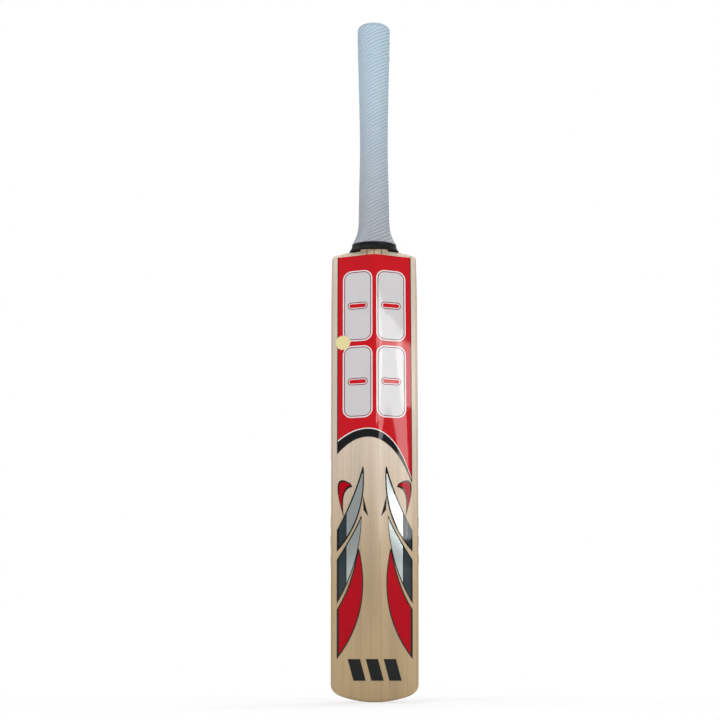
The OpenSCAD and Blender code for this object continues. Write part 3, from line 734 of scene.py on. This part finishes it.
def build_label(side, spot, width, arch, arch_top, panel_h):
    node_name = side + "_label"
    half = width / 2
    inner = half - BORDER_W
    xs = spread(-inner, inner, 46)

    def low(x):
        return arch_z(arch, x)

    def high(x):
        return max(arch_z(arch_top, x), low(x) + 0.3)

    def line_top(x):
        return high(x) + LINE_W * sqrt(1 + (0.03 * (x - arch[0])) ** 2)

    def lay(name, outlines, material, thick=LABEL_T, under=0.0, nodes=(node_name,), slot="label_vinyl"):
        decal(f"{side}_{name}", outlines, spot, material, list(nodes), slot, thick, under)

    lay("label_red", [between(line_top, lambda x: LABEL_TOP, xs)], RED)
    lay("label_arch", [between(low, high, xs)], BLACK)
    lay("label_arch_line", [between(high, line_top, xs)], WHITE)
    for name, x0, x1 in (("left", -half, -inner), ("right", inner, half)):
        lay(f"label_border_{name}", [between(low, lambda x: LABEL_TOP, [x0, x1])], BLACK)
    half_x, half_z = (PANEL_W - PANEL_SPLIT) / 4, panel_h / 2
    foil = dict(thick=FOIL_T, under=LABEL_T, nodes=(side + "_panels",), slot="silver_foil")
    print_on = dict(foil, thick=0.08, under=LABEL_T + FOIL_T)
    for i, row in enumerate(("upper", "lower")):
        for sign, name in ((-1, row + "_left"), (1, row + "_right")):
            mid_x = sign * (half_x + PANEL_SPLIT / 2)
            mid_z = PANEL_TOP - half_z - i * (panel_h + PANEL_GAP)
            boxes = [round_box(mid_z, half_x - d, half_z - d, PANEL_R - d, mid_x) for d in (0, 1.5, 2.6)]
            lay(f"panel_{name}_white_line", boxes[:2], WHITE, **foil)
            lay(f"panel_{name}_dark_line", boxes[1:], DARK_RED, **foil)
            lay(f"panel_{name}", boxes[2:], SILVER, **foil)
            slots = [round_box(mid_z, 12.5 - d, 4.6 - d, 4.5 - d, mid_x) for d in (0, 1.1, 2.1)]
            lay(f"slot_{name}_dark_line", slots[:2], DARK_RED, **print_on)
            lay(f"slot_{name}_white_line", slots[1:], WHITE, **print_on)
            lay(f"slot_{name}", slots[2:], RED, **print_on)


def bezier(a, b, c, steps):
    return [tuple(a[i] * (1 - t) ** 2 + 2 * b[i] * t * (1 - t) + c[i] * t * t for i in (0, 1))
            for t in spread(0, 1, steps)]


def leaf(inner, outer, gap=0.0):
    """The shape between two curves that start at one tip, drawn in by gap on both sides."""
    pairs = []
    for a, b in zip(inner, outer):
        wide = hypot(b[0] - a[0], b[1] - a[1])
        if wide > 2.1 * gap + 0.01:
            k = gap / wide
            pairs.append((tuple(a[i] + (b[i] - a[i]) * k for i in (0, 1)),
                          tuple(b[i] - (b[i] - a[i]) * k for i in (0, 1))))
    return [p[0] for p in pairs] + [p[1] for p in pairs][::-1]


def beyond(outline, limit, side):
    """The part of an outline where side * u is more than side * limit."""
    kept = []
    for (u0, z0), (u1, z1) in zip(outline, outline[1:] + outline[:1]):
        inside, next_inside = side * (u0 - limit) >= 0, side * (u1 - limit) >= 0
        if inside:
            kept.append((u0, z0))
        if inside != next_inside:
            kept.append((limit, z0 + (z1 - z0) * (limit - u0) / (u1 - u0)))
    return kept


SWEEP_OUT = 46.5
OUTLINE_W = 2.6
SLATE_FROM = 35.5


def build_sweeps():
    """A mirrored pair of nested blades on the back's flanks, each with a black outline."""
    steps = 26
    blades = [
        ("crescent", (24.5, 261), (44, 262), (37.5, 222), (59, 290), (37.5, 222), DEEP_RED),
        ("high", (14, 289), (8, 222), (SWEEP_OUT, 182), (24, 250), (SWEEP_OUT, 208), SHADED_SILVER),
        ("middle", (16, 227), (17, 166), (SWEEP_OUT, 119), (23, 208), (SWEEP_OUT, 172), SHADED_SILVER),
        ("low", (20.5, 190), (0, 110), (SWEEP_OUT, 52), (26.5, 143), (SWEEP_OUT, 112), DEEP_RED),
    ]
    for side, sign in (("left", -1), ("right", 1)):
        def lay(name, outline, material, thick=0.1, under=LABEL_T):
            decal(f"sweep_{side}_{name}", [[(sign * u, z) for u, z in outline]], back_spot, material,
                  ["back_sweep_" + side], "sweep_vinyl", thick, under)

        for name, tip, pull_in, end_in, pull_out, end_out, colour in blades:
            inner = bezier(tip, pull_in, end_in, steps)
            outer = bezier(tip, pull_out, end_out, steps)
            ends_meet = end_in == end_out
            lay(name + "_ground", leaf(inner, outer)[1:-1] if ends_meet else leaf(inner, outer), BLACK, LABEL_T, 0)
            fill = beyond(leaf(inner, outer, OUTLINE_W), SWEEP_OUT - OUTLINE_W, -1)
            if colour is SHADED_SILVER:
                lay(name + "_slate", beyond(fill, SLATE_FROM, 1), SLATE)
                fill = beyond(fill, SLATE_FROM - 1, -1)
            lay(name, fill, colour)
        lay("thorn", [(14.6, 250), (8, 224), (13.8, 232)], BLACK, LABEL_T, 0)


def slanted_bar(u0, z0, w, h, slant):
    return [(u0, z0), (u0 + w, z0), (u0 + w + slant, z0 + h), (u0 + slant, z0 + h)]


def build_marks():
    pitch = (66 - 15 - 7) / 2
    for i, name in enumerate(("a", "b", "c")):
        decal(f"toe_bar_{name}", [slanted_bar(i * pitch - 33, 26, 15, 26, 7)], back_spot, BLACK,
              ["back_toe_bars"], "black_print")
    scallops = 14
    disc = [(39.5 + (9.1 + 0.4 * cos(scallops * a)) * cos(a), 444 + (9.1 + 0.4 * cos(scallops * a)) * sin(a))
            for a in spread(0, 2 * pi, 140)[:-1]]
    decal("gold_seal", [disc], back_spot, SEAL_GOLD, ["seal"], "seal_foil", FOIL_T, LABEL_T + FOIL_T)
    stripe = between(lambda x: 287 - 4.7 * (1 - (x / 39) ** 2) - 0.2, lambda x: 287 + 4.7 * (1 - (x / 39) ** 2) + 0.2,
                     spread(-39, 39, 30))
    decal("face_stripe_red", [stripe], face_spot, RED, ["face_stripe"], "label_vinyl", LABEL_T, FACING_T)


def build_facing():
    half = 49
    top = arch_z(FACE_ARCH, half) - 3
    sheet = between(lambda x: 14 + toe_z(x), lambda x: top, spread(-half, half, 30))
    decal("facing_film", [sheet], face_spot, CLEAR, ["clear_facing"], "facing_film", 0.2, FACING_T - 0.2)


def build_edges():
    foot_z = 297
    run = LABEL_TOP - foot_z
    for name, side in (("left", -1), ("right", 1)):
        spot = edge_spot(side)

        def half_at(z, inset=0.0):
            return (17 - 12 * (z - foot_z) / run) / 2 - inset

        for part, inset, colour, under in (("ground", 0.0, DARK_RED, 0.0), ("core", 1.4, BLACK, LABEL_T - 0.1)):
            zs = spread(foot_z + inset, LABEL_TOP - inset, 24)
            left = [(-half_at(z, inset), z) for z in zs]
            right = [(half_at(z, inset), z) for z in zs]
            outline = left + right[::-1] + [(0, foot_z + 12 + inset)]
            decal(f"edge_{name}_{part}", [outline], spot, colour, [f"edge_label_{name}"], "label_vinyl",
                  LABEL_T - 0.1 if part == "ground" else 0.1, under)
        for i, bar in enumerate(("a", "b", "c")):
            z0 = 163 + i * 68 / 3
            outline = [(-12, z0), (12, z0 + 5), (12, z0 + 15.9), (-12, z0 + 10.9)]
            decal(f"edge_{name}_bar_{bar}", [outline], spot, BLACK, [f"edge_bars_{name}"], "black_print")


# ---------------------------------------------------------------- finishes of the CAD pieces that show
def finish_cad_pieces():
    for name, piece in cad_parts.items():
        material = None
        if name.startswith("cane_"):
            material = CANE_WOOD
        elif name.startswith("spring_"):
            material = SPRING_RUBBER
        elif name == "twine_binding":
            material = TWINE
        if material:
            piece.data.materials.clear()
            piece.data.materials.append(material)


# ---------------------------------------------------------------- stage, light and camera
def build_stage():
    toe = -HOLD_Z * MM
    material, tree, shader = new_material("pale_stage")
    wear = place_group(tree, WEAR, Smudge_Scale=3.0)
    shade = mix_colour(tree, wear.outputs["Smudges"], (0.9, 0.9, 0.9, 1), (0.88, 0.88, 0.88, 1))
    tree.links.new(shade, shader.inputs["Base Color"])
    shader.inputs["Roughness"].default_value = 0.9
    shader.inputs["Specular IOR Level"].default_value = 0.1
    glow = node(tree, "ShaderNodeEmission", Strength=1.0)
    mix = tree.nodes.new("ShaderNodeMixShader")
    path = tree.nodes.new("ShaderNodeLightPath")
    far = tree.nodes.new("ShaderNodeVectorMath")
    far.operation = "LENGTH"
    tree.links.new(tree.nodes.new("ShaderNodeTexCoord").outputs["Object"], far.inputs[0])
    fade = tree.nodes.new("ShaderNodeMapRange")
    fade.interpolation_type = "SMOOTHSTEP"
    for label, value in (("From Min", 0.12), ("From Max", 0.75), ("To Min", 0.5), ("To Max", 1.0)):
        fade.inputs[label].default_value = value
    tree.links.new(far.outputs["Value"], fade.inputs["Value"])
    seen = math_node(tree, "MULTIPLY", path.outputs["Is Camera Ray"], fade.outputs[0])
    tree.links.new(seen, mix.inputs[0])
    tree.links.new(shader.outputs[0], mix.inputs[1])
    tree.links.new(glow.outputs[0], mix.inputs[2])
    tree.links.new(mix.outputs[0], tree.nodes["Material Output"].inputs["Surface"])
    size = 4.0
    mesh = mesh_of("floor", [(-size, -size, 0), (size, -size, 0), (size, size, 0), (-size, size, 0)],
                   [(0, 1, 2, 3)])
    mesh.materials.append(material)
    floor_piece = bpy.data.objects.new("floor", mesh)
    floor_piece.location.z = toe
    bpy.context.scene.collection.objects.link(floor_piece)


def build_light():
    world = bpy.data.worlds.new("studio")
    bpy.context.scene.world = world
    world.use_nodes = True
    tree = world.node_tree
    ground = tree.nodes["Background"]
    ground.inputs["Color"].default_value = (1, 1, 1, 1)
    path = tree.nodes.new("ShaderNodeLightPath")
    seen = math_node(tree, "MULTIPLY", path.outputs["Is Camera Ray"], 1 - WORLD_LIGHT)
    tree.links.new(math_node(tree, "ADD", seen, WORLD_LIGHT), ground.inputs["Strength"])
    # name, azimuth, lowest and highest point, distance, width, radiance
    lamps = (("window_back", 222.2, -0.5, 0.43, 2.0, 0.21, 7), ("pane_back", 211.5, 0.2, 0.43, 2.1, 0.74, 7.5),
             ("window_low", 227.5, -0.5, -0.2, 2.0, 0.2, 9),
             ("soft_back", 163, 1.3, 2.4, 1.7, 1.6, 5.5), ("window_face", 38, -0.4, 0.5, 2.0, 0.27, 4),
             ("soft_face", -16, 1.3, 2.4, 1.7, 1.6, 5.5), ("soft_left", 270, 0.9, 1.9, 2.0, 1.1, 1.2),
             ("soft_right", 90, 0.9, 1.9, 2.0, 1.1, 2.6))
    for name, azimuth, low, high, distance, width, radiance in lamps:
        lamp = bpy.data.lights.new(name, "AREA")
        lamp.shape = "RECTANGLE"
        lamp.size = width
        lamp.size_y = high - low
        lamp.energy = radiance * pi * width * (high - low)
        holder = bpy.data.objects.new(name, lamp)
        a = radians(azimuth)
        middle = (low + high) / 2
        holder.location = (sin(a) * distance, -cos(a) * distance, middle)
        level = Vector((0, 0, min(middle, 0)))
        holder.rotation_euler = (level - holder.location).to_track_quat("-Z", "Y").to_euler()
        holder.visible_camera = False
        bpy.context.scene.collection.objects.link(holder)


def build_camera():
    """Square to the back, a little below the middle, and near enough for the toe to look larger."""
    distance = 2.2
    low = radians(-10)
    lens_view = 0.9075
    target = to_frame(18, 20, 423.6)
    camera = bpy.data.cameras.new("camera")
    camera.sensor_width = 36
    camera.lens = camera.sensor_width * distance / lens_view
    holder = bpy.data.objects.new("camera", camera)
    holder.location = target + Vector((0, cos(low) * distance, sin(low) * distance))
    holder.rotation_euler = (target - holder.location).to_track_quat("-Z", "Y").to_euler()
    bpy.context.scene.collection.objects.link(holder)
    bpy.context.scene.camera = holder


build_camera()
build_blade()
build_grip()
build_collar()
build_label("back", back_spot, BACK_LABEL_W, BACK_ARCH, BACK_ARCH_TOP, BACK_PANEL_H)
build_label("face", face_spot, FACE_LABEL_W, FACE_ARCH, FACE_ARCH_TOP, FACE_PANEL_H)
build_sweeps()
build_marks()
build_facing()
build_edges()
finish_cad_pieces()
build_stage()
build_light()
bpy.context.scene.view_settings.view_transform = "Standard"
